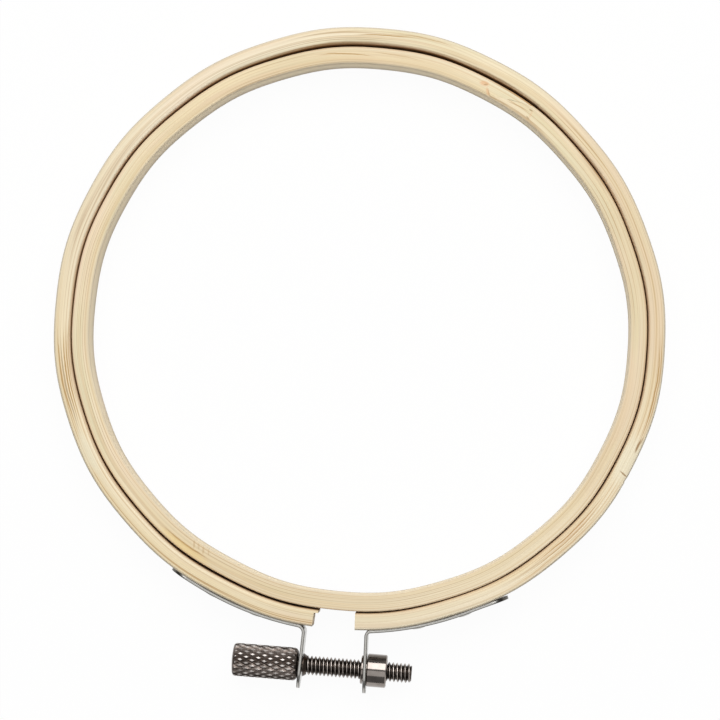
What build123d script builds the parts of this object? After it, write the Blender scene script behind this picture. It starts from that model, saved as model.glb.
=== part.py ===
from build123d import *
from math import cos, degrees, radians, sin, sqrt
import os

# An embroidery hoop of two bamboo rings. The outer ring is split, and a screw
# between two bent steel brackets draws its ends together round the inner ring.
# The origin is the middle of the hoop at half its height. The hoop lies flat,
# with the screw along X in front of it, on the side towards -Y.

# Rings
outer_ring_diameter = 125.0
outer_ring_wall = 3.5
inner_ring_wall = 3.5
ring_clearance = 0.35        # all round between the rings, for the fabric
ring_height = 9.0
ring_edge_break = 0.45       # bevel on the long edges of both rings
split_half_angle = 4.1       # degrees from -Y to each end of the outer ring
lip_thickness = 0.6          # sliver of the inner layer left on the left end
lip_length = 0.9

# Brackets bent from flat strip
strip_thickness = 0.7
strip_width = 8.0
strip_clearance = 0.12       # between the strip and the wood
leg_angle = 33.0             # degrees from -Y to the tip of each leg
bend_radius = 0.9            # on the inside of the bend
ear_spacing = 13.3           # between the middles of the two ears, at the screw
ear_splay = 2.0              # degrees that each ear leans outwards
ear_length = 12.9            # from the wood to the ear's tip
tip_flat = 0.3               # flat left between the two rounded corners of a tip

# Rivets that hold each bracket on the wood
rivet_angles = (15.5, 24.5)  # degrees from -Y
rivet_diameter = 1.6
rivet_head_diameter = 3.0
rivet_head_height = 0.4
rivet_head_bevel = 0.25      # round the head's rim
rivet_flare_diameter = 2.6
rivet_flare_depth = 0.6
rivet_set_back = 0.15        # of the flared end inside the ring's inner wall
rivet_clearance = 0.05

# Screw, captive in the left ear and threaded in the nut
screw_drop = 8.1             # from the outside of the wood to the screw's axis
thread_diameter = 4.0
thread_pitch = 0.8
thread_end_chamfer = 0.4
thread_past_nut = 5.1
neck_diameter = 3.0
neck_clearance = 0.1
collar_diameter = 5.0
collar_length = 0.75
spigot_length = 8.0          # of the neck inside the head
ear_play = 0.15              # on each face of an ear

# Knurled head pressed on the screw
head_diameter = 6.8
head_length = 13.7
head_bulge = 0.35            # of its outer end
head_end_radius = 0.6
head_shoulder_radius = 1.1
press_clearance = 0.01

# Barrel nut riveted in the right ear
nut_diameter = 6.85
nut_length = 4.0
nut_chamfer = 0.3
nut_neck_diameter = 5.0
nut_rim_diameter = 5.95
nut_rim_thickness = 0.55
thread_clearance = 0.05

overrun = 1.0                # of a cut past the faces that it cuts

left, right = -1, 1

# The rings' faces follow from the outside diameter
outer_ring_outside = outer_ring_diameter / 2
outer_ring_inside = outer_ring_outside - outer_ring_wall
inner_ring_outside = outer_ring_inside - ring_clearance
inner_ring_inside = inner_ring_outside - inner_ring_wall
half_height = ring_height / 2

# The strips lie round the wood, and their ears stand in front of it
strip_inside = outer_ring_outside + strip_clearance
strip_outside = strip_inside + strip_thickness
tip_radius = (strip_width - tip_flat) / 2
ear_middle = ear_spacing / 2
screw_y = -outer_ring_outside - screw_drop
ear_below_screw = ear_length - screw_drop

# The plain shank is as thick as the thread halfway up its flanks
shank_radius = (thread_diameter - thread_pitch / 2) / 2
neck_radius = neck_diameter / 2
nut_bore_radius = thread_diameter / 2 + thread_clearance

# Places along the screw, from the head's outer end to the thread's end
head_face = -ear_middle - strip_thickness / 2 - ear_play
head_end = head_face - head_length
spigot_end = head_face - spigot_length
collar_face = -ear_middle + strip_thickness / 2 + ear_play
collar_end = collar_face + collar_length
rim_face = ear_middle - strip_thickness / 2 - ear_play
rim_end = rim_face - nut_rim_thickness
nut_face = ear_middle + strip_thickness / 2 + ear_play
nut_end = nut_face + nut_length
screw_end = nut_end + thread_past_nut

screw_axis = Axis((0, screw_y, 0), (1, 0, 0))
screw_plane = Plane(origin=(0, screw_y, 0), x_dir=(1, 0, 0), z_dir=(0, 0, 1))


# Direction out from the hoop's middle, at degrees from -Y towards +X
def outwards(angle):
    return Vector(sin(radians(angle)), -cos(radians(angle)), 0)


# Upright plane that holds the hoop's axis and has its own X along that direction
def spoke_plane(angle):
    return Plane(origin=(0, 0, 0), x_dir=outwards(angle), z_dir=outwards(angle + 90))


def spoke_axis(angle):
    return Axis((0, 0, 0), outwards(angle))


# Hole for a rivet, countersunk where it opens inside the outer ring
def cut_rivet_hole(angle):
    hole = rivet_diameter / 2 + rivet_clearance
    sink = rivet_flare_diameter / 2 + rivet_clearance
    sink_end = outer_ring_inside + rivet_set_back + rivet_clearance
    with BuildSketch(spoke_plane(angle)) as section:
        with BuildLine():
            Polyline(
                (outer_ring_inside - overrun, 0),
                (outer_ring_inside - overrun, sink),
                (sink_end, sink),
                (sink_end + rivet_flare_depth, hole),
                (strip_outside + overrun, hole),
                (strip_outside + overrun, 0),
                close=True,
            )
        make_face()
    revolve(section.sketch, axis=spoke_axis(angle), mode=Mode.SUBTRACT)


# Rivet with a low head on the strip and its end flared in the countersink
def add_rivet(angle):
    shank = rivet_diameter / 2
    head = rivet_head_diameter / 2
    head_seat = strip_outside + press_clearance
    head_top = head_seat + rivet_head_height
    flare_end = outer_ring_inside + rivet_set_back
    with BuildSketch(spoke_plane(angle)) as section:
        with BuildLine():
            Polyline(
                (flare_end, 0),
                (flare_end, rivet_flare_diameter / 2),
                (flare_end + rivet_flare_depth, shank),
                (head_seat, shank),
                (head_seat, head),
                (head_top - rivet_head_bevel, head),
                (head_top, head - rivet_head_bevel),
                (head_top, 0),
                close=True,
            )
        make_face()
    revolve(section.sketch, axis=spoke_axis(angle))


# Point on a face of an ear, at a distance from the ear's middle plane (outwards is
# positive) and a height above the screw's axis
def ear_point(side, from_middle, height):
    lean = radians(ear_splay)
    along = Vector(-side * sin(lean), cos(lean), 0)
    across = Vector(side * cos(lean), sin(lean), 0)
    return Vector(side * ear_middle, screw_y, 0) + across * from_middle + along * height


# Where that face meets a circle round the hoop's axis
def ear_meets(side, from_middle, radius):
    foot = ear_point(side, from_middle, 0)
    along = ear_point(side, from_middle, 1) - foot
    back = foot.dot(along)
    return ear_point(side, from_middle, -back - sqrt(back**2 - foot.length**2 + radius**2))


# Arc round the hoop's axis between two points of one circle
def arc_round_hoop(start, end):
    ThreePointArc(start, (start + end).normalized() * start.length, end)


# Flat strip that hugs the wood as a leg and is bent out as an ear
def bend_strip(side):
    half = strip_thickness / 2
    bend_outside = ear_meets(side, -half, strip_inside)
    bend_inside = ear_meets(side, half, strip_outside)
    leg_tip = outwards(side * leg_angle)
    with BuildSketch(Plane.XY.offset(-strip_width / 2)) as profile:
        with BuildLine():
            Polyline(
                bend_outside,
                ear_point(side, -half, -ear_below_screw),
                ear_point(side, half, -ear_below_screw),
                bend_inside,
            )
            arc_round_hoop(bend_inside, leg_tip * strip_outside)
            Line(leg_tip * strip_outside, leg_tip * strip_inside)
            arc_round_hoop(leg_tip * strip_inside, bend_outside)
        make_face()
        outer_corner = profile.vertices().sort_by_distance(bend_outside)[0]
        inner_corner = profile.vertices().sort_by_distance(bend_inside)[0]
        fillet(outer_corner, radius=bend_radius + strip_thickness)
        fillet(inner_corner, radius=bend_radius)
    extrude(profile.sketch, amount=strip_width)


# Round off both tips of a strip, whose corner edges are as long as it is thick
def round_tips(strip):
    corners = strip.edges().filter_by(
        lambda edge: abs(edge.length - strip_thickness) < strip_clearance
        and edge.geom_type == GeomType.LINE
    )
    fillet(corners, radius=tip_radius)


def cut_ear_hole(side, radius):
    ear_plane = Plane(origin=(side * ear_middle, screw_y, 0), z_dir=(side, 0, 0))
    with BuildSketch(ear_plane) as hole:
        Circle(radius)
    extrude(hole.sketch, amount=overrun, both=True, mode=Mode.SUBTRACT)


# Outer ring, split in front, with a thin lip of its inner layer on the left end
with BuildPart() as outer_ring:
    right_end_angle = split_half_angle - 90
    ring_sweep = 360 - 2 * split_half_angle
    left_end_angle = right_end_angle + ring_sweep
    lip_sweep = degrees(lip_length / outer_ring_inside)
    with BuildSketch(Plane.XY.offset(-half_height)):
        with BuildLine():
            outside = CenterArc((0, 0), outer_ring_outside, right_end_angle, ring_sweep)
            inside = CenterArc((0, 0), outer_ring_inside, right_end_angle, ring_sweep + lip_sweep)
            lip = CenterArc((0, 0), outer_ring_inside + lip_thickness, left_end_angle, lip_sweep)
            Line(outside @ 0, inside @ 0)
            Line(inside @ 1, lip @ 1)
            Line(lip @ 0, outside @ 1)
        make_face()
    extrude(amount=ring_height)
    long_edges = outer_ring.edges().filter_by(lambda edge: edge.length > outer_ring_diameter)
    chamfer(long_edges, length=ring_edge_break)
    for side in (left, right):
        for angle in rivet_angles:
            cut_rivet_hole(side * angle)

# Inner ring, closed, which the fabric is laid over
with BuildPart() as inner_ring:
    with BuildSketch(Plane.XY.offset(-half_height)):
        Circle(inner_ring_outside)
        Circle(inner_ring_inside, mode=Mode.SUBTRACT)
    extrude(amount=ring_height)
    chamfer(inner_ring.edges().filter_by(GeomType.CIRCLE), length=ring_edge_break)

# Left bracket, whose ear holds the neck of the screw
with BuildPart() as left_bracket:
    bend_strip(left)
    round_tips(left_bracket)
    cut_ear_hole(left, neck_radius + neck_clearance)
    for angle in rivet_angles:
        cut_rivet_hole(left * angle)

# Right bracket, whose ear holds the nut
with BuildPart() as right_bracket:
    bend_strip(right)
    round_tips(right_bracket)
    cut_ear_hole(right, nut_neck_diameter / 2 + rivet_clearance)
    for angle in rivet_angles:
        cut_rivet_hole(right * angle)

with BuildPart() as left_rivets:
    for angle in rivet_angles:
        add_rivet(left * angle)

with BuildPart() as right_rivets:
    for angle in rivet_angles:
        add_rivet(right * angle)

# Screw with a spigot for the head, a neck through the ear and a flared collar
with BuildPart() as clamp_screw:
    with BuildSketch(screw_plane):
        with BuildLine():
            Polyline(
                (spigot_end, 0),
                (spigot_end, neck_radius),
                (collar_face, neck_radius),
                (collar_face, collar_diameter / 2),
                (collar_end, shank_radius),
                (screw_end - thread_end_chamfer, shank_radius),
                (screw_end, shank_radius - thread_end_chamfer),
                (screw_end, 0),
                close=True,
            )
        make_face()
    revolve(axis=screw_axis)

# Head that the fingers turn, with a blind hole for the screw's spigot
with BuildPart() as thumb_head:
    head_radius = head_diameter / 2
    spigot_hole = neck_radius + press_clearance
    hole_end = spigot_end - press_clearance
    with BuildSketch(screw_plane) as section:
        with BuildLine():
            TangentArc((head_end, 0), (head_end + head_bulge, head_radius), tangent=(0, 1))
            Polyline(
                (head_end + head_bulge, head_radius),
                (head_face, head_radius),
                (head_face, spigot_hole),
                (hole_end, spigot_hole),
                (hole_end, 0),
                (head_end, 0),
            )
        make_face()
        outer_corner = section.vertices().sort_by_distance((head_end, head_radius))[0]
        ear_corner = section.vertices().sort_by_distance((head_face, head_radius))[0]
        fillet(outer_corner, radius=head_end_radius)
        fillet(ear_corner, radius=head_shoulder_radius)
    revolve(axis=screw_axis)

# Nut with a neck through the ear, swaged into a rim on the ear's inner face
with BuildPart() as barrel_nut:
    nut_radius = nut_diameter / 2
    nut_neck = nut_neck_diameter / 2
    with BuildSketch(screw_plane):
        with BuildLine():
            Polyline(
                (rim_end, nut_bore_radius),
                (rim_end, nut_rim_diameter / 2),
                (rim_face, nut_rim_diameter / 2),
                (rim_face, nut_neck),
                (nut_face, nut_neck),
                (nut_face, nut_radius - nut_chamfer),
                (nut_face + nut_chamfer, nut_radius),
                (nut_end - nut_chamfer, nut_radius),
                (nut_end, nut_radius - nut_chamfer),
                (nut_end, nut_bore_radius),
                close=True,
            )
        make_face()
    revolve(axis=screw_axis)

pieces = {
    "outer_ring": outer_ring,
    "inner_ring": inner_ring,
    "left_bracket": left_bracket,
    "right_bracket": right_bracket,
    "left_bracket_rivets": left_rivets,
    "right_bracket_rivets": right_rivets,
    "clamp_screw": clamp_screw,
    "thumb_head": thumb_head,
    "barrel_nut": barrel_nut,
}

os.makedirs("parts", exist_ok=True)
for name, piece in pieces.items():
    piece.part.label = name
    export_step(piece.part, f"parts/{name}.step")
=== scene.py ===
from math import acos, atan2, cos, pi, radians, sin, sqrt, tan

import bmesh
import bpy
from mathutils import Matrix, Vector


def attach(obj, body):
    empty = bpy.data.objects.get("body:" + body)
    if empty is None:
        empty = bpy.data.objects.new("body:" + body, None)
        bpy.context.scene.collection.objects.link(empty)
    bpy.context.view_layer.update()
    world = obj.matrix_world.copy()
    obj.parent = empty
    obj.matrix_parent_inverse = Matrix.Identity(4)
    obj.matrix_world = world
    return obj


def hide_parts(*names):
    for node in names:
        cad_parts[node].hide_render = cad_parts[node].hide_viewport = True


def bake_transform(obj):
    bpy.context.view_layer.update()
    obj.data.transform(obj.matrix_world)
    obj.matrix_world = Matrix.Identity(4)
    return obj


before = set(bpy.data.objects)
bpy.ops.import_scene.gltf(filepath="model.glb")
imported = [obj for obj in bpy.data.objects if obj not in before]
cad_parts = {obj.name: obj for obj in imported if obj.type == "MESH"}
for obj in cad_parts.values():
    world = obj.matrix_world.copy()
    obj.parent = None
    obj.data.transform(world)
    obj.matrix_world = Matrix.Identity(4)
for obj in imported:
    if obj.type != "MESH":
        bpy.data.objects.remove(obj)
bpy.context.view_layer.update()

mm = 0.001                      # every size below is in millimetres, the scene in metres
tiny = 1e-6                     # metres, under which two places count as one


def metres(sizes):              # several sizes at once
    return [size * mm for size in sizes]


# Camera

cameraView = {
    "distance": 680,            # from the aim to the lens
    "lens": 165,                # telephoto, so the hoop hardly narrows with depth
    "roll": 4.5,                # degrees that the hoop looks turned clockwise
    "lean": 2.6,                # degrees off the upright over the hoop
    "leanTowards": 33,          # in the picture, clockwise from its right
    "aim": (0.05, -7.2),        # from the middle of the hoop, right and up in the picture
    "clip": (0.01, 20),         # metres
}


def placeCamera(v):
    roll, towards = radians(v["roll"]), radians(v["leanTowards"])
    right, up = Vector((cos(roll), sin(roll), 0)), Vector((-sin(roll), cos(roll), 0))
    aim = (right * v["aim"][0] + up * v["aim"][1]) * mm
    side = right * cos(towards) - up * sin(towards)
    back = Vector((0, 0, 1)) * cos(radians(v["lean"])) + side * sin(radians(v["lean"]))
    x = up.cross(back).normalized()
    turned = Matrix((x, back.cross(x), back)).transposed()
    bpy.ops.object.camera_add(location=aim + back * v["distance"] * mm, rotation=turned.to_euler())
    camera = bpy.context.object
    camera.name = "photoCamera"
    camera.data.lens = v["lens"]
    camera.data.clip_start, camera.data.clip_end = v["clip"]
    bpy.context.scene.camera = camera


placeCamera(cameraView)
print("camera placed")


# Ways of working that several pieces share

def takeUp(piece):              # selects this piece alone and makes it active
    bpy.ops.object.select_all(action="DESELECT")
    piece.select_set(True)
    bpy.context.view_layer.objects.active = piece


def openMesh(piece, kind="EDGE"):
    takeUp(piece)
    bpy.ops.object.mode_set(mode="EDIT")
    bpy.ops.mesh.select_mode(type=kind)
    bpy.ops.mesh.select_all(action="DESELECT")


def pick(piece, kind, test):    # selects what passes the test, and nothing else
    bpy.ops.mesh.select_mode(type=kind)
    bpy.ops.mesh.select_all(action="DESELECT")
    shape = bmesh.from_edit_mesh(piece.data)
    for item in {"VERT": shape.verts, "EDGE": shape.edges, "FACE": shape.faces}[kind]:
        if test(item):
            item.select_set(True)
    bmesh.update_edit_mesh(piece.data)


def closeMesh():
    bpy.ops.object.mode_set(mode="OBJECT")


def middle(edge):
    return (edge.verts[0].co + edge.verts[1].co) / 2


def runsAlong(edge, axis):      # 0 for X, 1 for Y, 2 for Z
    way = edge.verts[1].co - edge.verts[0].co
    return abs(way[axis]) > 0.99 * way.length


def applyModifier(piece, kind, **settings):
    takeUp(piece)
    modifier = piece.modifiers.new(kind.lower(), kind)
    for name, value in settings.items():
        setattr(modifier, name, value)
    bpy.ops.object.modifier_apply(modifier=modifier.name)


def cleanMesh(piece, smoothAngle=35):   # smooth up to that many degrees between two faces
    openMesh(piece)
    bpy.ops.mesh.select_all(action="SELECT")
    bpy.ops.mesh.remove_doubles(threshold=2 * tiny)
    bpy.ops.mesh.normals_make_consistent(inside=False)
    closeMesh()
    bpy.ops.object.shade_smooth_by_angle(angle=radians(smoothAngle))


def addBlank(name, size, place):        # a box, sized and placed in its mesh
    bpy.ops.object.select_all(action="DESELECT")
    bpy.ops.mesh.primitive_cube_add(size=1, location=place, scale=size)
    bpy.ops.object.transform_apply(location=True, rotation=True, scale=True)
    piece = bpy.context.object
    piece.name = piece.data.name = name
    return piece


def drawProfile(name, points):          # half a section in the XY plane, point by point
    bpy.ops.object.select_all(action="DESELECT")
    bpy.ops.mesh.primitive_plane_add(size=mm)
    piece = bpy.context.object
    piece.name = piece.data.name = name
    openMesh(piece, "VERT")
    bpy.ops.mesh.select_all(action="SELECT")
    bpy.ops.mesh.merge(type="CENTER")
    bpy.ops.transform.translate(value=(points[0][0] * mm, points[0][1] * mm, 0))
    for here, there in zip(points, points[1:]):
        step = ((there[0] - here[0]) * mm, (there[1] - here[1]) * mm, 0)
        bpy.ops.mesh.extrude_vertices_move(TRANSFORM_OT_translate={"value": step})
    closeMesh()
    return piece


def roundCorner(piece, point, radius, segments=5):      # of a drawn profile
    openMesh(piece, "VERT")
    at = Vector((point[0] * mm, point[1] * mm, 0))
    pick(piece, "VERT", lambda v: (v.co - at).length < tiny)
    bpy.ops.mesh.bevel(
        offset=radius * mm, offset_type="OFFSET", segments=segments, affect="VERTICES"
    )
    closeMesh()


def spinProfile(piece, steps=96):       # about the X axis
    openMesh(piece)
    bpy.ops.mesh.select_all(action="SELECT")
    bpy.ops.mesh.spin(steps=steps, angle=2 * pi, center=(0, 0, 0), axis=(1, 0, 0))
    closeMesh()
    cleanMesh(piece)


def spun(name, points, steps=96):       # a solid turned from a drawn profile
    piece = drawProfile(name, points)
    spinProfile(piece, steps)
    return piece


def turnMesh(piece, angle):             # about the Z axis
    openMesh(piece)
    bpy.ops.mesh.select_all(action="SELECT")
    bpy.ops.transform.rotate(value=angle, orient_axis="Z", center_override=(0, 0, 0))
    closeMesh()


def capEnds(piece):             # closes the open loop at each end in X with a fan of faces
    openMesh(piece)
    middleX = sum(v.co.x for v in piece.data.vertices) / len(piece.data.vertices)
    for way in (-1, 1):
        pick(piece, "EDGE", lambda e: e.is_boundary and (middle(e).x - middleX) * way > 0)
        bpy.ops.mesh.extrude_edges_move(TRANSFORM_OT_translate={"value": (0, 0, 0)})
        bpy.ops.mesh.merge(type="CENTER")
    bpy.ops.mesh.select_all(action="SELECT")
    bpy.ops.mesh.normals_make_consistent(inside=False)
    closeMesh()


def cutWith(piece, tool, how="DIFFERENCE"):
    applyModifier(piece, "BOOLEAN", operation=how, object=tool, solver="EXACT")
    bpy.data.objects.remove(tool)


# Both rings are straight strips of bamboo that are bent along a path. Each keeps its
# straight place as an attribute, so the grain runs round the ring with the wood.

rings = {
    "height": 9.0,
    "wall": 3.5,
    "outerRound": (0.55, 0.85),     # of the outer ring's edges, outside and next to the gap
    "innerRound": (0.22, 0.55),     # of the inner ring's, next to the gap and inside
    "roundSegments": 6,
    "smoothAngle": 40,
    "outerMiddle": 60.75,       # radius of the middle of the outer wall
    "innerMiddle": 56.9,
    # how far the outer ring, sprung out of round, leaves a true circle, at sixteen places
    # that are 22.5 degrees apart, clockwise from -Y
    "outerLeaves": (
        0, 0, 0.3, 0.45, 0.1, -0.35, -0.95, -1.35,
        -1.5, -1.55, -1.35, -0.65, 0.2, 0.58, 0.48, 0.05,
    ),
    # width of the gap between the rings at the same places
    "gap": (
        0.4, 0.5, 0.38, 0.28, 0.28, 0.34, 0.42, 0.52,
        0.62, 0.6, 0.4, 0.28, 0.25, 0.24, 0.2, 0.17,
    ),
    "evenGap": 0.35,            # the gap that two true circles would have
    "splitLeft": 4.4,           # degrees from -Y to each end of the outer ring
    "splitRight": 3.7,
    "lipThickness": 0.6,        # thin inner layer that goes on past the left end
    "lipLength": 0.9,
    "scarfAt": 203.5,           # where the inner ring's glued joint starts, clockwise from -Y
    "scarfLength": 10.7,
    "scarfGap": 0.03,
    "cuts": 15,                 # twice over, so 256 steps round a ring
    "chipAt": 310.8,            # small dent past the node on the outer ring's right side
    "chip": ((0.0, 0.0), (0.15, 0.14), (1.4, 0.12), (2.9, 0.05)),   # how far on, how deep
    "chipShare": 0.28,          # of the wall, out from its middle, where the dent begins
}


def ringPath(name, radius, leaves, startAt=0):
    # runs clockwise seen from above, from startAt degrees past -Y; a closed path of
    # Blender's starts at its last point
    bpy.ops.object.select_all(action="DESELECT")
    bpy.ops.curve.primitive_bezier_circle_add(radius=radius * mm)
    path = bpy.context.object
    path.name = name
    bpy.ops.object.mode_set(mode="EDIT")
    bpy.ops.curve.select_all(action="SELECT")
    bpy.ops.curve.subdivide(number_cuts=len(leaves) // 4 - 1)
    bpy.ops.curve.handle_type_set(type="AUTOMATIC")
    bpy.ops.object.mode_set(mode="OBJECT")
    apart = 360 / len(leaves)
    for i, point in enumerate(path.data.splines[0].bezier_points):
        turned = (startAt + apart * (i + 1)) % 360
        place, share = divmod(turned / apart, 1)
        here, there = leaves[int(place)], leaves[(int(place) + 1) % len(leaves)]
        out = (radius + here + (there - here) * share) * mm
        point.co = (-out * sin(radians(turned)), -out * cos(radians(turned)), 0)
    path.data.resolution_u = 48
    return path


def addStrip(name, start, end, rounds, v):
    # of bamboo, with its long edges rounded, outer ones first; it is left in edit mode
    size = (end - start, v["wall"] * mm, v["height"] * mm)
    strip = addBlank(name, size, ((start + end) / 2, 0, 0))
    openMesh(strip)
    half = v["wall"] / 2 * mm
    for side, radius in zip((1, -1), rounds):
        pick(strip, "EDGE", lambda e: runsAlong(e, 0) and abs(middle(e).y * side - half) < tiny)
        bpy.ops.mesh.bevel(offset=radius * mm, segments=v["roundSegments"], profile=0.5)
    for _ in range(2):
        pick(strip, "EDGE", lambda e: runsAlong(e, 0))
        bpy.ops.mesh.subdivide(number_cuts=v["cuts"])
    return strip


def bendAlong(piece, path, smoothAngle):        # takes a piece in edit mode, and finishes it
    closeMesh()
    kept = piece.data.attributes.new("straightPlace", "FLOAT_VECTOR", "POINT")
    for vertex, value in zip(piece.data.vertices, kept.data):
        value.vector = vertex.co
    applyModifier(piece, "CURVE", object=path, deform_axis="POS_X")
    bpy.data.objects.remove(path)
    cleanMesh(piece, smoothAngle)


def buildOuterRing(v):
    path = ringPath("outerPath", v["outerMiddle"], v["outerLeaves"])
    whole = path.data.splines[0].calc_length()
    perDegree = v["outerMiddle"] * mm * pi / 180
    start, end = v["splitLeft"] * perDegree, whole - v["splitRight"] * perDegree
    ring = addStrip("outerRingBamboo", start, end, v["outerRound"], v)
    chipFrom = v["wall"] * v["chipShare"] * mm
    for onwards, deep in v["chip"]:
        at = (v["chipAt"] + onwards) * mm
        bpy.ops.mesh.select_all(action="SELECT")
        bpy.ops.mesh.bisect(plane_co=(at, 0, 0), plane_no=(1, 0, 0))
        pick(ring, "VERT", lambda q: abs(q.co.x - at) < tiny and q.co.y > chipFrom)
        bpy.ops.transform.translate(value=(0, -deep * mm, 0))
    lipTop = (v["lipThickness"] - v["wall"] / 2) * mm

    def atStart(face, below):
        at = face.calc_center_median()
        return at.x < start + tiny and at.y < below

    pick(ring, "FACE", lambda f: atStart(f, v["wall"] * mm))
    bpy.ops.mesh.bisect(plane_co=(0, lipTop, 0), plane_no=(0, 1, 0))
    pick(ring, "FACE", lambda f: atStart(f, lipTop))
    lip = (-v["lipLength"] * mm, 0, 0)
    bpy.ops.mesh.extrude_region_move(TRANSFORM_OT_translate={"value": lip})
    bendAlong(ring, path, v["smoothAngle"])
    return ring, whole


def buildInnerRing(v):
    leaves = [out - gap + v["evenGap"] for out, gap in zip(v["outerLeaves"], v["gap"])]
    path = ringPath("innerPath", v["innerMiddle"], leaves, v["scarfAt"])
    whole = path.data.splines[0].calc_length()
    slant, half = v["scarfLength"] * mm, v["wall"] / 2 * mm
    ring = addStrip("innerRingBamboo", -slant, whole + slant, v["innerRound"], v)
    square = Vector((2 * half, -slant, 0)).normalized()     # to the joint's sloping faces
    for at, isStart in ((0, True), (whole - v["scarfGap"] * mm, False)):
        bpy.ops.mesh.select_all(action="SELECT")
        bpy.ops.mesh.bisect(
            plane_co=(at, -half, 0), plane_no=square, use_fill=True,
            clear_inner=isStart, clear_outer=not isStart,
        )
    bendAlong(ring, path, v["smoothAngle"])
    return ring


outerRing, outerLength = buildOuterRing(rings)
innerRing = buildInnerRing(rings)
print("rings bent")


# The two brackets are bent from steel strip, which is cut and drilled while it is flat

brackets = {
    "thickness": 0.62,
    "width": 8.0,
    "edgeRound": 0.09,
    "smoothAngle": 30,
    "legRadius": 62.92,         # middle of the strip round the wood
    "legAngle": 33.1,           # degrees from -Y to the leg's tip
    "leaveAngle": 25.5,         # where the leg's end stops following the wood
    "leftLift": 0.25,           # how far each leg's tip stands off the wood
    "rightLift": 0.75,
    "leftBend": 1.5,            # radius of the middle of the strip
    "rightBend": 1.0,
    "earMiddle": 6.65,          # from the hoop's middle plane to the ear's, at the screw
    "earSplay": 2.0,            # degrees that each ear leans outwards
    "earBelowScrew": 4.8,
    "screwY": -70.6,
    "tipRound": 3.85,
    "tipSegments": 12,
    "rivetAngles": (15.5, 24.5),    # degrees from -Y
    "rivetHole": 0.85,
    "leftHole": 1.6,            # round the neck of the screw
    "rightHole": 2.55,          # round the neck of the nut
    "drillSides": 48,
    "drillLength": 4.0,         # well past both faces of the strip
    "evenCuts": 40,             # steps along the whole strip, so that it can be bent
    "bendCuts": 12,             # and more steps in the bend
}


def bracketPath(side, v):
    # side is -1 for the left bracket, 1 for the right; the path runs from the leg's tip round
    # the wood, through the bend and along the ear, and comes with the places of the bend
    lean = radians(v["earSplay"])
    bend = v["leftBend"] if side < 0 else v["rightBend"]
    up = Vector((-side * sin(lean), cos(lean), 0))
    out = Vector((side * cos(lean), sin(lean), 0))
    eye = Vector((side * v["earMiddle"], v["screwY"], 0))       # where the screw goes through
    foot = eye + out * bend
    back = foot.dot(up)
    reach = v["legRadius"] + bend
    rise = -back - sqrt(back ** 2 - foot.length ** 2 + reach ** 2)
    # middle of the bend, whose circle touches both the ear's line and the leg's circle
    corner = foot + up * rise
    bendStart = corner.normalized() * v["legRadius"]
    bendEnd = eye + up * rise
    startAngle = atan2(bendStart.x * side, -bendStart.y)
    tipAngle, leaveAngle = radians(v["legAngle"]), radians(v["leaveAngle"])
    lift = v["leftLift"] if side < 0 else v["rightLift"]
    tip = Vector((side * sin(tipAngle), -cos(tipAngle), 0)) * (v["legRadius"] + lift)
    leave = Vector((side * sin(leaveAngle), -cos(leaveAngle), 0)) * v["legRadius"]
    along = Vector((-side * cos(startAngle), -sin(startAngle), 0))
    leaveAlong = Vector((-side * cos(leaveAngle), -sin(leaveAngle), 0))
    endPull = (tip - leave).length / 3
    tipAlong = (leave - leaveAlong * endPull - tip).normalized()
    turn = acos(max(-1, min(1, along.dot(-up))))
    legPull = 4 / 3 * tan((leaveAngle - startAngle) / 4) * v["legRadius"]
    bendPull = 4 / 3 * tan(turn / 4) * bend
    earTip = eye - up * v["earBelowScrew"]
    knots = (
        (tip, tip - tipAlong, tip + tipAlong * endPull),
        (leave, leave - leaveAlong * endPull, leave + leaveAlong * legPull),
        (bendStart, bendStart - along * legPull, bendStart + along * bendPull),
        (bendEnd, bendEnd + up * bendPull, bendEnd - up),
        (earTip, earTip + up, earTip - up),
    )
    bpy.ops.object.select_all(action="DESELECT")
    bpy.ops.curve.primitive_bezier_curve_add()
    path = bpy.context.object
    spline = path.data.splines[0]
    spline.bezier_points.add(3)
    for point, (at, before, after) in zip(spline.bezier_points, knots):
        point.handle_left_type = point.handle_right_type = "FREE"
        point.co, point.handle_left, point.handle_right = at * mm, before * mm, after * mm
    path.data.resolution_u = 64
    length = spline.calc_length()
    bendEnds = length - (earTip - bendEnd).length * mm
    return path, startAngle, bendEnds - turn * bend * mm, bendEnds, length


def drill(strip, along, radius):
    bpy.ops.object.select_all(action="DESELECT")
    bpy.ops.mesh.primitive_cylinder_add(
        vertices=brackets["drillSides"], radius=radius * mm, depth=brackets["drillLength"] * mm,
        location=(along, 0, 0), rotation=(pi / 2, 0, 0),
    )
    cutWith(strip, bpy.context.object)


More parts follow.
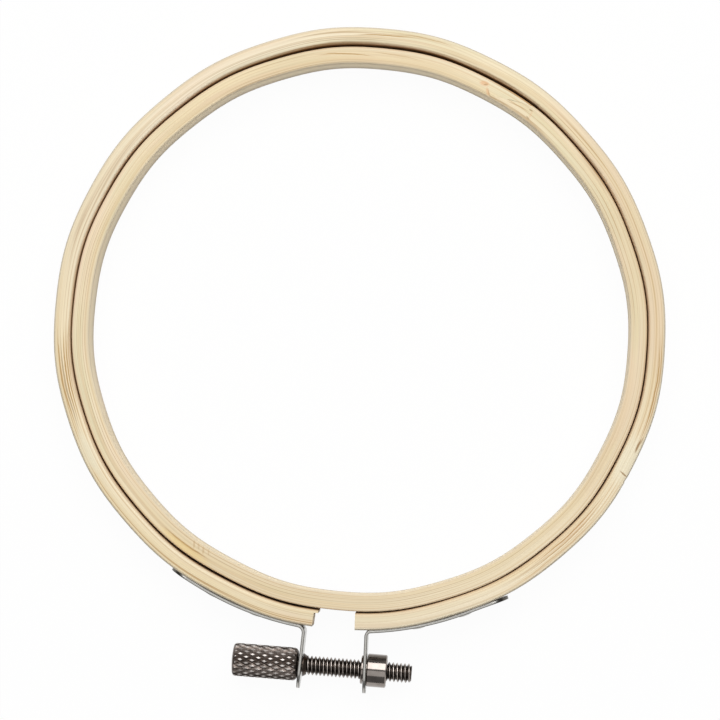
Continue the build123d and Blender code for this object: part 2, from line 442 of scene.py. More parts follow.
def buildBracket(side, v):
    path, startAngle, bendStart, bendEnd, length = bracketPath(side, v)
    name = "leftBracketSteel" if side < 0 else "rightBracketSteel"
    strip = addBlank(name, (length, v["thickness"] * mm, v["width"] * mm), (length / 2, 0, 0))
    openMesh(strip)
    pick(strip, "EDGE", lambda e: runsAlong(e, 1))
    bpy.ops.mesh.bevel(offset=v["tipRound"] * mm, segments=v["tipSegments"], profile=0.5)
    closeMesh()
    drill(strip, length - v["earBelowScrew"] * mm, v["leftHole" if side < 0 else "rightHole"])
    for angle in v["rivetAngles"]:
        fromBend = (radians(angle) - startAngle) * v["legRadius"] * mm
        drill(strip, bendStart - fromBend, v["rivetHole"])
    applyModifier(
        strip, "BEVEL", width=v["edgeRound"] * mm, segments=2,
        limit_method="ANGLE", angle_limit=radians(40),
    )
    openMesh(strip)
    even, bend = v["evenCuts"], v["bendCuts"]
    places = [length * k / even for k in range(1, even)]
    places += [bendStart + (bendEnd - bendStart) * k / bend for k in range(bend + 1)]
    for place in sorted(places):
        bpy.ops.mesh.select_all(action="SELECT")
        bpy.ops.mesh.bisect(plane_co=(place, 0, 0), plane_no=(1, 0, 0))
    bendAlong(strip, path, v["smoothAngle"])
    return strip


leftBracket = buildBracket(-1, brackets)
rightBracket = buildBracket(1, brackets)
print("brackets bent")


# Rivets, half hollow, with a low domed head on the strip and a flared end inside the wood.
# An outline is places along the rivet, from the hoop's middle, with the radius there.

rivet = {
    "hollow": ((60.8, 0), (60.6, 0.5), (59.4, 0.62)),
    "flare": ((59.17, 0.95), (59.15, 1.2), (59.22, 1.28), (59.4, 1.02), (59.85, 0.8)),
    "shank": ((63.23, 0.8),),
    "head": ((63.23, 1.5), (63.32, 1.5), (63.45, 1.36), (63.55, 1.0), (63.61, 0.5), (63.63, 0)),
    "steps": 48,
}


def buildRivets(side, v):
    outline = v["hollow"] + v["flare"] + v["shank"] + v["head"]
    pieces = []
    for angle in brackets["rivetAngles"]:
        one = spun("rivet", outline, v["steps"])
        turnMesh(one, radians(90 - side * angle))
        pieces.append(one)
    bpy.ops.object.select_all(action="DESELECT")
    for one in pieces:
        one.select_set(True)
    bpy.context.view_layer.objects.active = pieces[0]
    bpy.ops.object.join()
    pieces[0].name = pieces[0].data.name = "leftRivets" if side < 0 else "rightRivets"
    return pieces[0]


leftRivets = buildRivets(-1, rivet)
rightRivets = buildRivets(1, rivet)
print("rivets set")


# The screw: a turned neck and flared collar, and a thread cut along the rest

screw = {
    "spigotEnd": -15.15,        # inside the head
    "neck": 1.5,
    "collarFace": -6.15,
    "collar": 2.35,
    "collarRim": 0.12,
    "collarEnd": -5.4,
    "collarEndRadius": 1.95,
    "threadInset": 0.2,         # from the collar's face to the thread's hidden start
    "crest": 2.0,
    "root": 1.45,
    "crestFlat": 0.12,
    "rootFlat": 0.1,
    "pitch": 0.8,
    "threadStart": -7.2,
    "turns": 31,
    "stepsPerTurn": 40,
    "end": 16.25,
    "endChamfer": 0.5,
    "over": 0.05,               # how far the tool that trims the thread stands off its crest
    "smoothAngle": 25,
}


def setOnAxis(piece, smoothAngle):      # moves a piece turned about X to the screw's axis
    openMesh(piece)
    bpy.ops.mesh.select_all(action="SELECT")
    bpy.ops.transform.translate(value=(0, brackets["screwY"] * mm, 0))
    closeMesh()
    cleanMesh(piece, smoothAngle)


def buildScrew(v):
    flank = (v["pitch"] - v["crestFlat"] - v["rootFlat"]) / 2
    start = v["threadStart"]
    thread = drawProfile("screwThread", (
        (start, v["root"]),
        (start + flank, v["crest"]),
        (start + flank + v["crestFlat"], v["crest"]),
        (start + 2 * flank + v["crestFlat"], v["root"]),
        (start + v["pitch"], v["root"]),
    ))
    applyModifier(
        thread, "SCREW", axis="X", screw_offset=v["pitch"] * mm, iterations=v["turns"],
        steps=v["stepsPerTurn"], render_steps=v["stepsPerTurn"],
        use_merge_vertices=True, merge_threshold=tiny,
    )
    cleanMesh(thread)
    capEnds(thread)
    clear = v["crest"] + v["over"]
    cutWith(thread, spun("threadLimit", (
        (v["collarFace"] + v["threadInset"], 0),
        (v["collarFace"] + v["threadInset"], clear),
        (v["end"] - v["endChamfer"] - v["over"], clear),
        (v["end"], clear - v["endChamfer"] - v["over"]),
        (v["end"], 0),
    )), "INTERSECT")
    cutWith(thread, spun("neckAndCollar", (
        (v["spigotEnd"], 0),
        (v["spigotEnd"], v["neck"]),
        (v["collarFace"], v["neck"]),
        (v["collarFace"], v["collar"]),
        (v["collarFace"] + v["collarRim"], v["collar"]),
        (v["collarEnd"], v["collarEndRadius"]),
        (v["collarEnd"], 0),
    )), "UNION")
    setOnAxis(thread, v["smoothAngle"])
    return thread


screwPiece = buildScrew(screw)
print("screw cut")


# The head, knurled in diamonds and then turned down to its outline

head = {
    "end": -20.85,
    "face": -7.15,
    "radius": 3.4,
    "bulge": 0.35,              # how far the domed end stands out
    "dome": ((0, 0), (0.2, 0.45), (0.55, 0.75), (1, 1)),    # shares of the bulge and radius
    "endRound": 0.6,
    "shoulderRound": 1.1,
    "hole": 1.51,
    "holeDepth": 8.0,
    "diamondsRound": 17,
    "diamondLength": 2.5,
    "groove": 3.1,              # radius at the bottom of the knurl's grooves
    "peak": 3.56,               # radius that the diamonds' points would have, uncut
    "steps": 136,               # eight to a diamond's width
    "smoothAngle": 18,
}


def buildHead(v):
    count = v["diamondsRound"] * 2      # every other vertex of a row is a diamond's point
    rows = 2 * (int((v["face"] - v["end"]) / v["diamondLength"]) + 1)
    length = rows * v["diamondLength"] / 2
    middleX = (v["end"] + v["face"]) / 2
    bpy.ops.object.select_all(action="DESELECT")
    bpy.ops.mesh.primitive_cylinder_add(
        vertices=count, radius=v["groove"] * mm, depth=length * mm, end_fill_type="NOTHING",
        location=(middleX * mm, 0, 0), rotation=(0, pi / 2, 0),
    )
    bpy.ops.object.transform_apply(location=True, rotation=True, scale=True)
    knurl = bpy.context.object
    knurl.name = knurl.data.name = "thumbHead"
    openMesh(knurl)
    pick(knurl, "EDGE", lambda e: runsAlong(e, 0))
    bpy.ops.mesh.subdivide(number_cuts=rows - 1)
    firstX = (middleX - length / 2) * mm

    def isPeak(vertex):
        row = round((vertex.co.x - firstX) / (v["diamondLength"] / 2 * mm))
        column = round(atan2(vertex.co.z, vertex.co.y) / (2 * pi / count))
        return (row + column) % 2 == 0

    pick(knurl, "VERT", isPeak)
    grow = v["peak"] / v["groove"]
    bpy.ops.transform.resize(value=(1, grow, grow), center_override=(middleX * mm, 0, 0))
    bpy.ops.mesh.select_all(action="SELECT")
    bpy.ops.mesh.quads_convert_to_tris(quad_method="SHORTEST_DIAGONAL")
    closeMesh()
    capEnds(knurl)
    points = [(v["end"] + v["bulge"] * out, v["radius"] * wide) for out, wide in v["dome"]]
    points += [
        (v["face"], v["radius"]),
        (v["face"], v["hole"]),
        (v["face"] - v["holeDepth"], v["hole"]),
        (v["face"] - v["holeDepth"], 0),
    ]
    outline = drawProfile("headOutline", points)
    roundCorner(outline, (v["end"] + v["bulge"], v["radius"]), v["endRound"])
    roundCorner(outline, (v["face"], v["radius"]), v["shoulderRound"], 8)
    spinProfile(outline, v["steps"])
    cutWith(knurl, outline, "INTERSECT")
    setOnAxis(knurl, v["smoothAngle"])
    return knurl


headPiece = buildHead(head)
print("head knurled")


# The nut, whose neck goes through the right ear and is swaged over it

nut = {
    "rimEnd": 5.78,
    "rimFace": 6.24,
    "rim": 2.95,
    "rimCurve": ((0, -0.22), (0.08, -0.07), (0.24, 0)),     # from the rim's end and radius
    "rimEdge": 0.06,
    "neck": 2.5,
    "face": 7.04,
    "end": 11.1,
    "radius": 3.4,
    "chamfer": 0.22,
    "bore": 2.25,
    "boreEdge": 0.1,
    "mouth": 0.25,              # chamfer where the screw comes out
    "steps": 112,
    "smoothAngle": 25,
}


def buildNut(v):
    boreStart = (v["rimEnd"] + v["boreEdge"], v["bore"])
    piece = spun("barrelNut", (
        boreStart,
        (v["rimEnd"], v["bore"] + v["boreEdge"]),
        *((v["rimEnd"] + onwards, v["rim"] + out) for onwards, out in v["rimCurve"]),
        (v["rimFace"] - v["rimEdge"], v["rim"]),
        (v["rimFace"], v["rim"] - v["rimEdge"]),
        (v["rimFace"], v["neck"]),
        (v["face"], v["neck"]),
        (v["face"], v["radius"] - v["chamfer"]),
        (v["face"] + v["chamfer"], v["radius"]),
        (v["end"] - v["chamfer"], v["radius"]),
        (v["end"], v["radius"] - v["chamfer"]),
        (v["end"], v["bore"] + v["mouth"]),
        (v["end"] - v["mouth"], v["bore"]),
        boreStart,
    ), v["steps"])
    setOnAxis(piece, v["smoothAngle"])
    return piece


nutPiece = buildNut(nut)
print("nut turned")


# Finishes

mostNoise = (0.3, 0.7)          # nearly all of a noise pattern lies between these


def newFinish(name):
    finish = bpy.data.materials.new(name)
    finish.use_nodes = True
    shader = finish.node_tree.nodes["Principled BSDF"]
    return finish, shader


def add(finish, kind, inputs=(), **settings):
    # a node of that kind; inputs pairs a socket's name or number with a value or an output
    node = finish.node_tree.nodes.new("ShaderNode" + kind)
    for name, value in settings.items():
        setattr(node, name, value)
    for socket, value in inputs:
        if isinstance(value, bpy.types.NodeSocket):
            finish.node_tree.links.new(value, node.inputs[socket])
        else:
            node.inputs[socket].default_value = value
    return node


def sums(finish, operation, first, second=0.0):
    return add(finish, "Math", ((0, first), (1, second)), operation=operation).outputs[0]


def spread(finish, value, low, high, toLow=0.0, toHigh=1.0):    # eases from one to the other
    inputs = (("Value", value), (1, low), (2, high), (3, toLow), (4, toHigh))
    return add(finish, "MapRange", inputs, interpolation_type="SMOOTHSTEP").outputs[0]


def blendColours(finish, share, first, second, how="MIX"):
    # on a mix of colours 6 and 7 are the colours going in, and 2 the one that comes out
    inputs = ((0, share), (6, first), (7, second))
    settings = {"data_type": "RGBA", "blend_type": how, "clamp_factor": True}
    return add(finish, "Mix", inputs, **settings).outputs[2]


def noise(finish, place, stretch, detail=3.0, roughness=0.6, shift=(0, 0, 0)):
    # stretch is cells in a metre, each way
    mapped = add(finish, "Mapping", (("Vector", place), ("Scale", stretch), ("Location", shift)))
    inputs = (
        ("Vector", mapped.outputs[0]), ("Scale", 1.0), ("Detail", detail), ("Roughness", roughness),
    )
    return add(finish, "TexNoise", inputs).outputs[0]


def paint(tone):                # a colour as it looks on screen, 0 to 255
    def flat(level):
        level /= 255
        return level / 12.92 if level <= 0.04045 else ((level + 0.055) / 1.055) ** 2.4
    return (*(flat(level) for level in tone), 1)


def wire(finish, shader, colour, roughness, relief=None, strength=0.0, depth=0.0):
    # feeds the shader, with a bump where relief is given
    links = finish.node_tree.links
    links.new(colour, shader.inputs["Base Color"])
    links.new(roughness, shader.inputs["Roughness"])
    if relief is not None:
        inputs = (("Height", relief), ("Strength", strength), ("Distance", depth * mm))
        links.new(add(finish, "Bump", inputs).outputs[0], shader.inputs["Normal"])


bamboo = {
    "pale": (239, 224, 193),
    "warm": (232, 213, 173),
    "rosy": (238, 213, 186),
    "green": (222, 212, 174),
    "streak": (211, 180, 134),
    "line": (184, 150, 102),
    # patterns: cells in a metre along, through and up the strip, detail, roughness
    "patterns": {
        "fine": ((30, 6500, 3400), 3.0, 0.6),
        "fibre": ((9, 3300, 1300), 2.0, 0.5),
        "broad": ((14, 420, 260), 3.0, 0.55),
        "vein": ((5, 1150, 420), 1.0, 0.4),
        "veinStrength": ((30, 520, 300), 2.0, 0.5),
        "rosiness": ((36, 260, 120), 2.0, 0.5),
        "greenness": ((30, 210, 160), 2.0, 0.5),
        "wander": ((160, 300, 200), 3.0, 0.6),
    },
    # tints over the pale wood: colour, pattern, where it starts and is full, strength
    "tints": (
        ("warm", "broad", 0.36, 0.66, 0.8),
        ("rosy", "rosiness", 0.5, 0.68, 0.5),
        ("green", "greenness", 0.52, 0.7, 0.6),
    ),
    "streaks": (0.5, 0.62),         # where in the fibre they start and are full
    "veinEdge": (0.008, 0.036),
    "veinShows": (0.44, 0.64, 0.1, 0.85),
    "wanderBy": 0.5,                # how far the marks' edges stray
    "markDepth": 0.6,
    "markEdge": 0.6,                # share of a mark over which it fades
    # the two walls: how deep each colour reaches, how strong it is, at what height it changes;
    # these colours hold the wood's own tones and painted light and shade
    "skinAndShadeDepth": 0.5,
    "skinAndShadeShare": 0.8,
    "corner": (196, 184, 166),      # painted grey shade on the rounded edge between the skin and the top
    "cornerShadeDepth": 0.6,
    "cornerShadeShare": 0.45,
    "cornerShadeRise": (3.6, 4.2),
    # painted brown shade on the top faces, darkening towards the gap
    "paintedGapShade": (172, 116, 70),
    "paintedGapShadeDepth": 0.5,
    "paintedGapShadeShare": 0.4,
    # the wall facing the gap is browner: partly the split bamboo's own tone, partly painted shade
    # deep in the gap
    "gapWallToneAndShade": (162, 122, 78),
    "gapWallToneAndShadeDepth": (0.3, 0.1),
    "gapWallToneAndShadeShare": 0.56,
    "gapWallToneAndShadeRise": (3.8, 4.2),
    "paintedLegShadow": (118, 102, 78),      # painted shadow on the wood under the brackets' legs
    "paintedLegShadowDepth": (0.25, 0.1),
    "paintedLegShadowRise": (3.9, 4.0),
    "paintedLegShadowFade": 0.5,
    "fineRange": (0.25, 0.75),      # the finest grain, between these values of its noise,
    "fineLevel": (0.92, 1.06),      # makes the wood this much darker or lighter
    "fineRelief": 0.5,              # its share of the relief, where the fibre's is 1
    "roughness": (0.48, 0.64),
    "specular": 0.25,
    "relief": 0.3,
    "reliefDepth": 0.06,
}
outerBamboo = {
    "shift": (3.1, 0, 0),           # of the patterns, so that the rings aren't alike
    "gapSide": -1,                  # which way through the strip the gap lies
    "streakShare": 0.56,
    # the skin's tone, on the wall away from the gap: below, above, and the heights it changes
    # between; the greyer colour above is painted shade on the rounded top edge
    "skinAndShade": ((226, 217, 200), (200, 190, 168), 3.5, 4.3),
}
innerBamboo = {
    "shift": (11.7, 5, 0),
    "gapSide": 1,
    "streakShare": 0.46,
    # the inner wall is painted darker at its foot and lighter at its top: painted light and shade
    # over the skin's tone
    "skinAndShade": ((190, 176, 152), (244, 228, 196), -4.6, 1.4),
}
# marks on the rings' upper faces: how far along, how far out from the middle of the wall,
# half the length, half the width, degrees turned, colour, strength
streak, dark, peach = (188, 150, 98), (150, 112, 66), (226, 166, 116)
cream, straw = (238, 228, 200), (236, 208, 146)
bleached, honey = (240, 232, 212), (212, 188, 148)
outerMarks = (
    (138.0, 0.0, 62.0, 4.0, 0, bleached, 0.32),
    (271.0, 0.0, 40.0, 4.0, 0, honey, 0.3),
    (366.0, 0.0, 34.0, 4.0, 0, bleached, 0.3),
    (308.2, 0.2, 7.0, 3.0, 0, cream, 0.75),
    (311.0, 0.8, 0.22, 1.4, -14, dark, 0.8),
    (293.5, 0.75, 14.0, 0.2, 0, streak, 1.0),
    (292.0, 1.15, 14.0, 0.17, 0, streak, 0.8),
    (304.6, 0.85, 2.0, 0.3, 0, dark, 0.85),
    (303.3, 1.12, 1.2, 0.15, 0, dark, 0.5),
    (327.0, -0.6, 12.5, 0.2, 0, streak, 0.9),
    (329.0, 0.05, 12.5, 0.16, 0.5, streak, 0.8),
    (332.0, 0.8, 14.5, 0.16, 0, streak, 0.6),
    (80.0, 0.7, 12.5, 0.2, 0.8, streak, 0.95),
    (79.0, 0.2, 12.5, 0.22, 0.3, dark, 0.6),
    (80.5, -0.3, 12.5, 0.2, -0.4, streak, 1.0),
    (81.0, -0.8, 12.0, 0.18, -0.8, streak, 0.9),
    (84.0, -1.2, 13.0, 0.15, -0.9, streak, 0.7),
    (64.0, 0.2, 6.0, 1.6, 0, cream, 0.55),
    (191.0, 0.3, 7.5, 0.17, 1.4, streak, 0.9),
    (199.0, 0.85, 8.0, 0.14, 0, streak, 0.7),
    # these two darker bands along the gap side are painted shade where the gap is wide
    (184.0, -1.6, 11.0, 0.7, 0, dark, 0.45),
    (215.0, -1.6, 9.0, 0.7, 0, dark, 0.4),
)
innerMarks = (
    (66.0, 0.0, 45.0, 4.0, 0, honey, 0.28),
    (170.0, 0.0, 38.0, 4.0, 0, honey, 0.3),
    (330.0, 0.0, 30.0, 4.0, 0, honey, 0.25),
    (355.5, 0.55, 1.3, 0.7, 12, peach, 0.55),
    (355.8, 0.45, 0.6, 0.22, 30, dark, 0.45),
    (356.9, -0.7, 0.45, 1.3, 38, peach, 0.45),
    (357.2, -0.8, 0.16, 0.9, 40, dark, 0.4),
    (2.6, -1.3, 1.1, 0.2, 3, dark, 0.3),
    (5.0, -1.1, 1.4, 0.16, 3, dark, 0.25),
    (8.0, 0.0, 3.2, 0.16, 8, streak, 0.6),
    (10.5, 0.8, 0.6, 0.2, 12, dark, 0.6),
    (10.9, -0.8, 0.7, 0.2, -12, dark, 0.5),
    (11.0, 0.0, 0.3, 1.0, 10, peach, 0.25),
    (187.5, -0.75, 0.28, 1.15, 30, streak, 0.42),
    (186.5, -0.9, 0.26, 0.95, 33, streak, 0.36),
    (185.3, -0.75, 0.28, 1.15, 30, streak, 0.42),
    (184.1, -0.95, 0.26, 0.9, 34, streak, 0.36),
    (188.9, 0.3, 6.5, 0.24, 0.8, streak, 1.0),
    (189.0, 0.95, 8.0, 0.85, 0, straw, 0.7),
    (326.2, 0.3, 7.2, 0.17, -3.6, streak, 0.85),
    (337.0, 0.6, 6.0, 0.14, -3, streak, 0.5),
)


def layGrain(finish, pattern, v, ring):
    colour = paint(v["pale"])
    tints = (*v["tints"], ("streak", "fibre", *v["streaks"], ring["streakShare"]))
    for tone, source, low, high, share in tints:
        share = spread(finish, pattern[source], low, high, 0.0, share)
        colour = blendColours(finish, share, colour, paint(v[tone]))
    # veins run where their pattern crosses its middle level
    offVein = sums(finish, "ABSOLUTE", sums(finish, "SUBTRACT", pattern["vein"], 0.5))
    thin = spread(finish, offVein, *v["veinEdge"], 1.0, 0.0)
    shows = spread(finish, pattern["veinStrength"], *v["veinShows"])
    return blendColours(finish, sums(finish, "MULTIPLY", thin, shows), colour, paint(v["line"]))


def paintMarks(finish, place, pattern, colour, v, marks):
    astray = sums(finish, "SUBTRACT", pattern["wander"], 0.5)
    astray = sums(finish, "MULTIPLY", astray, v["wanderBy"] * mm)
    wavy = add(finish, "CombineXYZ", ((0, astray), (1, astray))).outputs[0]
    wavy = add(finish, "VectorMath", ((0, place), (1, wavy)), operation="ADD").outputs[0]
    for at, out, long, wide, turned, tone, share in marks:
        inputs = (
            ("Vector", wavy),
            ("Location", metres((at, out, rings["height"] / 2))),
            ("Rotation", (0, 0, radians(turned))),
            ("Scale", metres((long, wide, v["markDepth"]))),
        )
        here = add(finish, "Mapping", inputs, vector_type="TEXTURE").outputs[0]
        ball = add(finish, "TexGradient", (("Vector", here),), gradient_type="SPHERICAL")
        share = spread(finish, ball.outputs[1], 0.0, v["markEdge"], 0.0, share)
        colour = blendColours(finish, share, colour, paint(tone))
    return colour


def paintWalls(finish, place, colour, v, ring):
    # returns the colour, and how far the rough wall next to the gap shows
    parts = add(finish, "SeparateXYZ", (("Vector", place),)).outputs
    along, through, rise = parts[0], parts[1], parts[2]
    offMiddle = sums(finish, "ABSOLUTE", rise)
    wall = sums(finish, "MULTIPLY", through, ring["gapSide"])
    half = rings["wall"] / 2
    # the skin's tone, with painted light and shade that changes with height
    foot, top, low, high = ring["skinAndShade"]
    skinAndShade = spread(finish, rise, *metres((low, high)))
    skinAndShade = blendColours(finish, skinAndShade, paint(foot), paint(top))
    reach = metres((-half, -half + v["skinAndShadeDepth"]))
    share = spread(finish, wall, *reach, v["skinAndShadeShare"], 0.0)
    colour = blendColours(finish, share, colour, skinAndShade)
    # painted grey shade along the rounded top edge, on the side away from the gap
    reach = metres((-half, -half + v["cornerShadeDepth"]))
    share = spread(finish, wall, *reach, v["cornerShadeShare"], 0.0)
    high = spread(finish, rise, *metres(v["cornerShadeRise"]))
    share = sums(finish, "MULTIPLY", share, high)
    colour = blendColours(finish, share, colour, paint(v["corner"]))
    # painted brown shade on the top face next to the gap
    reach = metres((half - v["paintedGapShadeDepth"], half))
    share = spread(finish, wall, *reach, 0.0, v["paintedGapShadeShare"])
    colour = blendColours(finish, share, colour, paint(v["paintedGapShade"]))
    # browner wall deep in the gap: partly the bamboo's own tone, partly painted shade
    near = spread(finish, wall, *metres(half - depth for depth in v["gapWallToneAndShadeDepth"]))
    low = spread(finish, offMiddle, *metres(v["gapWallToneAndShadeRise"]), 1.0, 0.0)
    deep = sums(finish, "MULTIPLY", near, low)
    share = sums(finish, "MULTIPLY", deep, v["gapWallToneAndShadeShare"])
    colour = blendColours(finish, share, colour, paint(v["gapWallToneAndShade"]))
    if ring["gapSide"] < 0:         # the outer ring, whose ends are under the brackets' legs
        # painted shadow on the outer wall under the ends of the brackets' legs
        legs = radians(brackets["legAngle"]) * rings["outerMiddle"] - brackets["tipRound"]
        legs, fade = metres((legs, v["paintedLegShadowFade"]))
        left = spread(finish, along, legs, legs + fade, 1.0, 0.0)
        right = spread(finish, along, outerLength - legs - fade, outerLength - legs)
        near = spread(finish, through, *metres(half - depth for depth in v["paintedLegShadowDepth"]))
        low = spread(finish, offMiddle, *metres(v["paintedLegShadowRise"]), 1.0, 0.0)
        share = sums(finish, "MULTIPLY", near, low)
        share = sums(finish, "MULTIPLY", sums(finish, "MAXIMUM", left, right), share)
        colour = blendColours(finish, share, colour, paint(v["paintedLegShadow"]))
    return colour, deep


def bambooFinish(name, v, ring, marks):
    finish, shader = newFinish(name)
    place = add(finish, "Attribute", attribute_name="straightPlace").outputs["Vector"]
    shift = ring["shift"]
    shifts = {"greenness": (shift[1], shift[0] + 4, 7), "wander": (0, 0, 0)}
    pattern = {
        each: noise(finish, place, *settings, shifts.get(each, shift))
        for each, settings in v["patterns"].items()
    }
    colour = layGrain(finish, pattern, v, ring)
    colour = paintMarks(finish, place, pattern, colour, v, marks)
    colour, deep = paintWalls(finish, place, colour, v, ring)
    level = spread(finish, pattern["fine"], *v["fineRange"], *v["fineLevel"])
    grey = add(finish, "CombineXYZ", ((0, level), (1, level), (2, level))).outputs[0]
    colour = blendColours(finish, 1.0, colour, grey, "MULTIPLY")
    rough = spread(finish, pattern["fibre"], *mostNoise, *v["roughness"])
    rough = sums(finish, "MAXIMUM", rough, deep)
    relief = sums(finish, "MULTIPLY", pattern["fine"], v["fineRelief"])
    relief = sums(finish, "ADD", pattern["fibre"], relief)
    wire(finish, shader, colour, rough, relief, v["relief"], v["reliefDepth"])
    shader.inputs["Specular IOR Level"].default_value = v["specular"]
    return finish


# the worn colour is where the piece stands proudest, partly wear and partly a painted highlight on
# the knurl's lands and the thread's crests; the next setting says how far from the screw's axis it
# starts and is full
metals = {
    "rivet": {
        "colour": (196, 195, 190), "dull": (170, 168, 164),
        "grain": (3000, 3000, 3000), "roughness": (0.22, 0.34), "relief": 0.03,
    },
    "screw": {
        "colour": (88, 78, 71), "dull": (58, 50, 44),
        "grain": (30000, 500, 500), "roughness": (0.26, 0.36), "relief": 0.05,
        "wornAndHighlit": (208, 198, 190), "wornAndHighlitFrom": (1.76, 1.98), "wornAndHighlitMetallic": 0.6,
    },
    "head": {
        "colour": (122, 112, 106), "dull": (88, 80, 74),
        "grain": (30000, 500, 500), "roughness": (0.26, 0.38), "relief": 0.05,
        "wornAndHighlit": (226, 219, 213), "wornAndHighlitFrom": (3.3, 3.395), "wornAndHighlitMetallic": 0.35,
    },
    "nut": {
        "colour": (152, 144, 138), "dull": (136, 128, 122),
        "grain": (30000, 500, 500), "roughness": (0.1, 0.16), "relief": 0.03,
    },
}
turnedSteel = {
    "cloudCells": (500, 500, 500),  # in a metre, each way
    "clouds": (0.35, 0.75),         # where in them the dull colour starts and is full
    "reliefDepth": 0.01,
    "collarStart": (-7.1, -7.0),    # the screw's collar gets neither wear nor painted highlight, between these places
    "collarEnd": (-5.4, -5.2),
    "wearAndHighlightClouds": (0.36, 0.6),      # where in the clouds the wear and the painted highlight thin
    "leastWearAndHighlight": 0.45,
}


def wearAndHighlightShare(finish, place, cloud, wornAndHighlitFrom, v):       # how worn each place on a piece is, and how much painted highlight it gets
    inputs = (
        ("Vector", place),
        ("Location", metres((0, -brackets["screwY"], 0))),
        ("Scale", (0, 1, 1)),
    )
    fromAxis = add(finish, "Mapping", inputs).outputs[0]
    radius = add(finish, "VectorMath", ((0, fromAxis),), operation="LENGTH").outputs["Value"]
    share = spread(finish, radius, *metres(wornAndHighlitFrom))
    x = add(finish, "SeparateXYZ", (("Vector", place),)).outputs[0]
    after = spread(finish, x, *metres(v["collarStart"]))
    before = spread(finish, x, *metres(v["collarEnd"]), 1.0, 0.0)
    offCollar = sums(finish, "SUBTRACT", 1.0, sums(finish, "MULTIPLY", after, before))
    share = sums(finish, "MULTIPLY", share, offCollar)
    thinned = spread(finish, cloud, *v["wearAndHighlightClouds"], 1.0, v["leastWearAndHighlight"])
    return sums(finish, "MULTIPLY", share, thinned)


def steelFinish(name, v, shared):
    finish, shader = newFinish(name)
    place = add(finish, "TexCoord").outputs["Object"]
    cloud = noise(finish, place, shared["cloudCells"])
    grain = noise(finish, place, v["grain"])
    share = spread(finish, cloud, *shared["clouds"])
    colour = blendColours(finish, share, paint(v["colour"]), paint(v["dull"]))
    shader.inputs["Metallic"].default_value = 1.0
    if "wornAndHighlit" in v:
        # a lighter, less metallic colour on the proudest places: partly wear, partly a painted
        # highlight
        share = wearAndHighlightShare(finish, place, cloud, v["wornAndHighlitFrom"], shared)
        colour = blendColours(finish, share, colour, paint(v["wornAndHighlit"]))
        metallic = spread(finish, share, 0.0, 1.0, 1.0, v["wornAndHighlitMetallic"])
        finish.node_tree.links.new(metallic, shader.inputs["Metallic"])
    rough = spread(finish, grain, *mostNoise, *v["roughness"])
    wire(finish, shader, colour, rough, grain, v["relief"], shared["reliefDepth"])
    return finish


strip = {
    "bright": (206, 205, 201),
    "dull": (190, 189, 185),
    "cloudCells": (300, 300, 300),
    "clouds": (0.35, 0.7),
    "grainCells": (300, 9000, 9000),
    "cut": (188, 186, 181),     # the polished line along the middle of a sheared edge, partly a painted highlight
    "cutDullAndShade": (92, 89, 84),    # and the duller metal on both sides of it and round the tip, partly painted shade
    "cutEdge": (0.1, 0.24),     # from the middle, where the polish and the painted highlight fade and are gone
    "cutFrom": (1.8, 3.0),      # from the leg's tip, where it starts and is full
    "faceEdge": (0.01, 0.003),  # from the broad faces, where the sheared edge fades and is gone
    "roughness": (0.26, 0.36),
}


def stripFinish(name, v):
    finish, shader = newFinish(name)
    place = add(finish, "Attribute", attribute_name="straightPlace").outputs["Vector"]
    cloud = noise(finish, place, v["cloudCells"], 2.0, 0.5)
    grain = noise(finish, place, v["grainCells"], 2.0, 0.5)
    parts = add(finish, "SeparateXYZ", (("Vector", place),)).outputs
    through = sums(finish, "ABSOLUTE", parts[1])
    share = spread(finish, cloud, *v["clouds"])
    colour = blendColours(finish, share, paint(v["bright"]), paint(v["dull"]))
    # sheared edges: a lighter middle line and darker sides and tip, partly the cut's own finish and
    # partly painted highlight and shade
    inside = spread(finish, through, *metres(v["cutEdge"]), 1.0, 0.0)
    onwards = spread(finish, parts[0], *metres(v["cutFrom"]))
    polishedAndHighlit = sums(finish, "MULTIPLY", inside, onwards)
    edge = blendColours(finish, polishedAndHighlit, paint(v["cutDullAndShade"]), paint(v["cut"]))
    half = brackets["thickness"] / 2
    onEdge = spread(finish, through, *metres(half - depth for depth in v["faceEdge"]), 1.0, 0.0)
    colour = blendColours(finish, onEdge, colour, edge)
    wire(finish, shader, colour, spread(finish, grain, *mostNoise, *v["roughness"]))
    shader.inputs["Metallic"].default_value = 1.0
    return finish


def dress(piece, finish, slot, body, *nodes):
    piece.data.materials.clear()
    piece.data.materials.append(finish)
    if body:
        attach(piece, body)
    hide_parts(*nodes)


brightStrip = stripFinish("brightStripSteel", strip)
rivetFinish = steelFinish("rivetSteel", metals["rivet"], turnedSteel)
screwFinish = steelFinish("screwSteel", metals["screw"], turnedSteel)
headFinish = steelFinish("headSteel", metals["head"], turnedSteel)
nutFinish = steelFinish("nutSteel", metals["nut"], turnedSteel)
outerFinish = bambooFinish("outerBamboo", bamboo, outerBamboo, outerMarks)
innerFinish = bambooFinish("innerBamboo", bamboo, innerBamboo, innerMarks)
dress(outerRing, outerFinish, "bamboo_outer", None, "outer_ring")
dress(innerRing, innerFinish, "bamboo_inner", "inner_hoop", "inner_ring")
dress(leftBracket, brightStrip, "strip_steel", "hoop_frame", "left_bracket")
dress(rightBracket, brightStrip, "strip_steel", "right_clamp", "right_bracket")
dress(leftRivets, rivetFinish, "rivet_steel", "hoop_frame", "left_bracket_rivets")
dress(rightRivets, rivetFinish, "rivet_steel", "right_clamp", "right_bracket_rivets")
dress(screwPiece, screwFinish, "dark_screw_steel", "screw", "clamp_screw")
dress(headPiece, headFinish, "dark_knurled_steel", "screw", "thumb_head")
dress(nutPiece, nutFinish, "dark_nut_steel", "right_clamp", "barrel_nut")
print("finishes on")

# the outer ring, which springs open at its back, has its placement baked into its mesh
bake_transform(outerRing)


# Floor and light

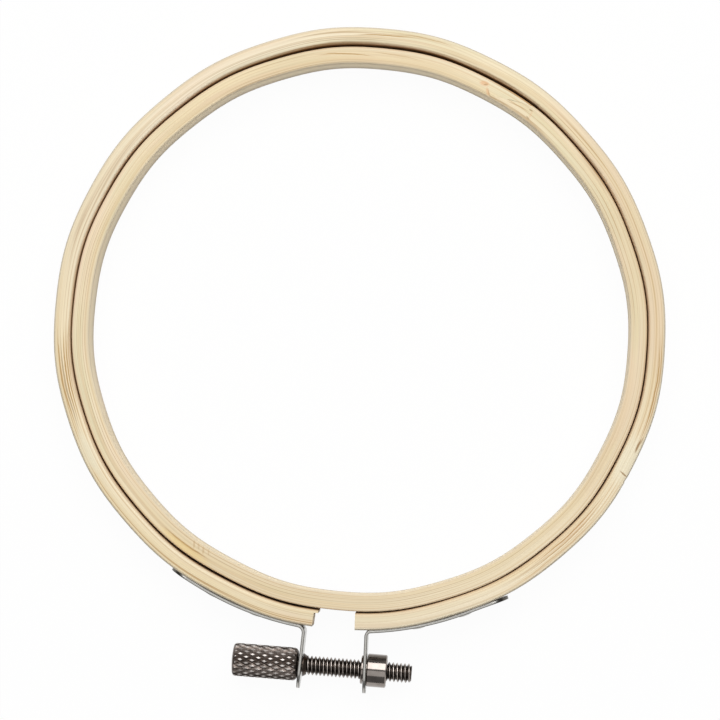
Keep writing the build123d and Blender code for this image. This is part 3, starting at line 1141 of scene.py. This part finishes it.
studio = {
    "floor": (240, 239, 236),
    "floorSize": 8,             # metres
    "floorZ": -4.5,
    "floorShown": 0.96,         # share of plain white that the floor shows the camera
    "worldLevel": 0.2,
    # towards is degrees from the upright towards +Y; away and size are in metres
    "key": {"towards": 33, "away": 1.0, "size": (1.2, 0.86), "level": 3.4},
    "fill": {"towards": -20, "away": 1.0, "size": (1.2, 0.66), "level": 0.75},
}


def addSoftbox(name, v):
    lean = radians(v["towards"])
    place = (0, v["away"] * sin(lean), v["away"] * cos(lean))
    bpy.ops.object.light_add(type="AREA", location=place, rotation=(-lean, 0, 0))
    box = bpy.context.object
    box.name = name
    box.data.shape = "RECTANGLE"
    box.data.size, box.data.size_y = v["size"]
    box.data.energy = v["level"] * pi * v["size"][0] * v["size"][1]


def buildStudio(v):
    bpy.ops.object.select_all(action="DESELECT")
    bpy.ops.mesh.primitive_plane_add(size=v["floorSize"], location=(0, 0, v["floorZ"] * mm))
    bpy.ops.object.transform_apply(location=True, rotation=True, scale=True)
    floor = bpy.context.object
    floor.name = "floor"
    finish, shader = newFinish("paleFloor")
    ray = add(finish, "LightPath").outputs
    seen = sums(finish, "MAXIMUM", ray["Is Camera Ray"], ray["Is Glossy Ray"])
    seen = sums(finish, "MAXIMUM", seen, ray["Is Transmission Ray"])
    plain = add(finish, "Emission", (("Color", (1, 1, 1, 1)), ("Strength", 1.0))).outputs[0]
    shader.inputs["Base Color"].default_value = paint(v["floor"])
    shader.inputs["Roughness"].default_value = 0.9
    shader.inputs["Specular IOR Level"].default_value = 0.0
    share = sums(finish, "MULTIPLY", seen, v["floorShown"])
    both = add(finish, "MixShader", ((0, share), (1, shader.outputs[0]), (2, plain)))
    surface = finish.node_tree.nodes["Material Output"].inputs["Surface"]
    finish.node_tree.links.new(both.outputs[0], surface)
    floor.data.materials.append(finish)
    world = bpy.data.worlds.new("studioWorld")
    world.use_nodes = True
    background = world.node_tree.nodes["Background"].inputs
    background["Color"].default_value = (1, 1, 1, 1)
    background["Strength"].default_value = v["worldLevel"]
    bpy.context.scene.world = world
    addSoftbox("keySoftbox", v["key"])
    addSoftbox("fillSoftbox", v["fill"])


buildStudio(studio)
bpy.context.scene.view_settings.view_transform = "Standard"
print("studio lit")
